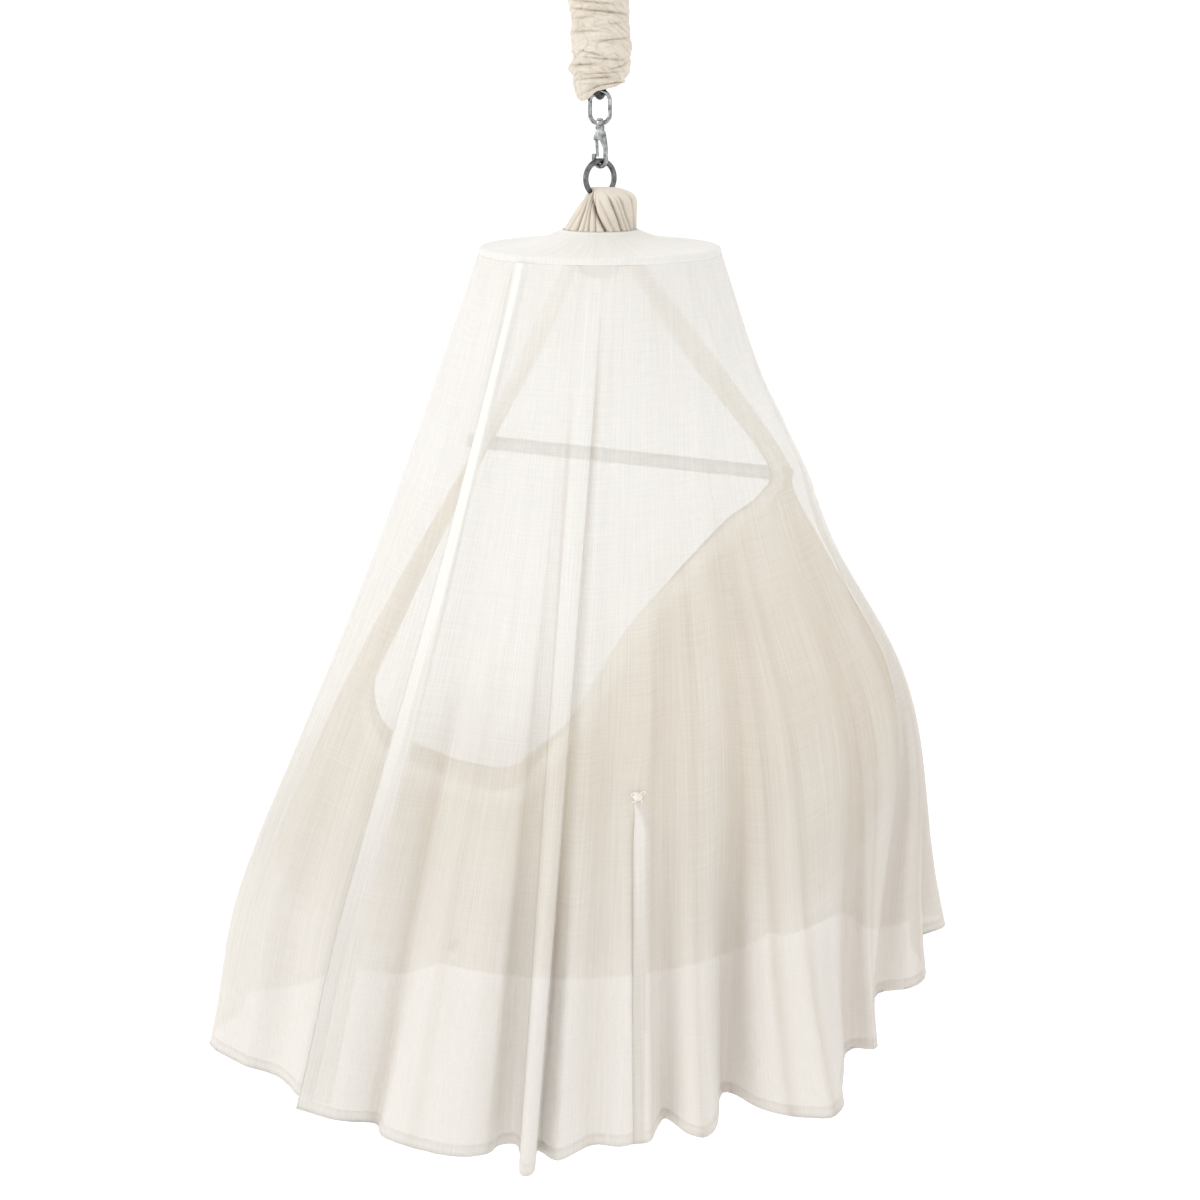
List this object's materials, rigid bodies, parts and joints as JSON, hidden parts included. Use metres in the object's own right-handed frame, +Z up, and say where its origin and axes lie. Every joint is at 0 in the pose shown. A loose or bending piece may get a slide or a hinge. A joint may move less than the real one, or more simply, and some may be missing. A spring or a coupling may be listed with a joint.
{
  "type": "crib canopy on a hanging cradle, with its hoop and snap hook",
  "caption": "Sheer cotton crib canopy: round crown on a hoop, long flared skirt with two slits, hung over a cloth cradle with a spreader bar, a ring and a swivel snap hook.",
  "frame": {"origin": "top of the hanging eye, the point that a ceiling fitting holds", "axes": "+Z up, +X along the cradle to its head end, -Y the front of the canopy"},
  "size_m": [0.9999, 0.5712, 1.4812],
  "materials": {
    "voile": "sheer off-white cotton voile",
    "calico": "matt natural cotton",
    "tie": "dark grey cord end",
    "hoop_steel": "white coated wire",
    "bar": "grey-stained turned wood",
    "steel": "polished steel",
    "dark_steel": "dark coated steel"
  },
  "bodies": {
    "hanging": {"spring_hook": "dark_steel", "swivel_eye": "steel", "sleeve": "calico"},
    "canopy": {"crown": "voile", "skirt": "voile", "slit_knot": "voile", "hoop": "hoop_steel", "sling": "calico", "tie_end": "tie", "spreader_bar": "bar", "ring": "steel", "hook_body": "steel"},
    "gate": {"hook_gate": "steel"}
  },
  "joints": [
    {"name": "swivel", "type": "hinge", "parent": "hanging", "child": "canopy", "pos_m": [0, 0, -0.1997], "axis": [0, 0, 1], "continuous": true},
    {"name": "gate_pivot", "type": "hinge", "parent": "canopy", "child": "gate", "pos_m": [-0.00433, 0.0025, -0.215], "axis": [-0.5, -0.866, 0], "range_deg": [0, 13], "stiffness_Nm_per_rad": 0.02, "springref_deg": -11.46}
  ]
}
